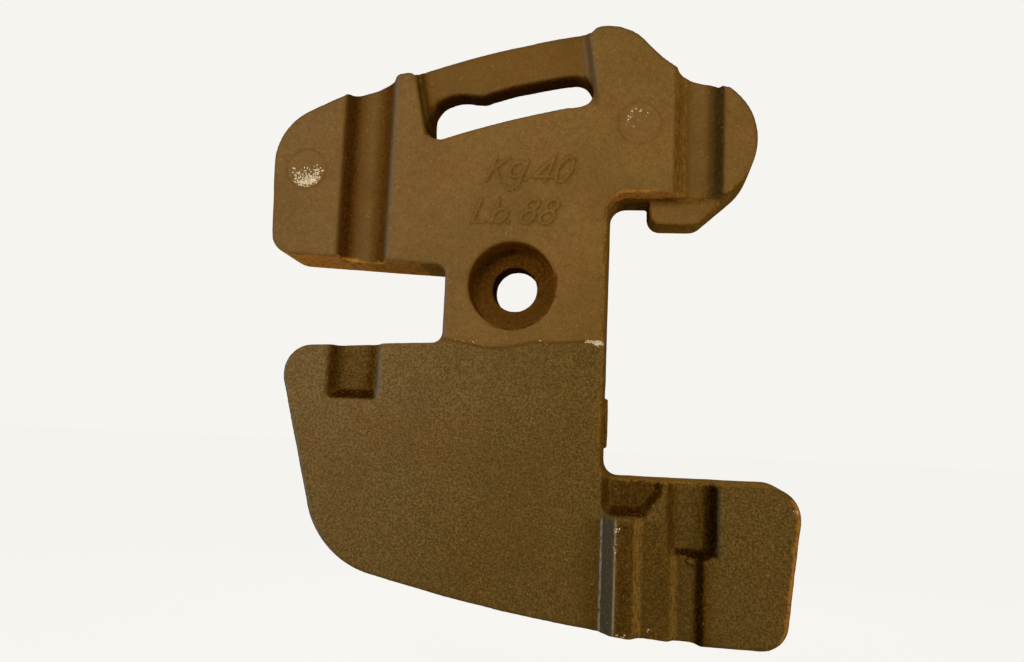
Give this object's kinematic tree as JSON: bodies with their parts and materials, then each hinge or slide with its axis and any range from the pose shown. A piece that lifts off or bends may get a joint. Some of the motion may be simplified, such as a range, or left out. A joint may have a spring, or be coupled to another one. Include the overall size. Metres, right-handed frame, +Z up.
{
  "type": "tractor suitcase weight",
  "caption": "Cast-iron ballast plate with a hand slot, a hook notch that hangs on a tractor's front carrier beam, a counterbored clamp hole and interlocking channels and ribs.",
  "frame": {"origin": "on the axis of the clamp bore, half way through the plate's thickness", "axes": "+X to the right towards the carrier notch, +Y from the front face to the back face, +Z up as the weight hangs on its carrier"},
  "size_m": [0.4107, 0.0745, 0.4642],
  "materials": {
    "cast_body": "matte dark paint over sand-cast iron, with rust bloom and pale worn specks"
  },
  "bodies": {
    "root": {"weight_casting": "cast_body"}
  },
  "joints": []
}
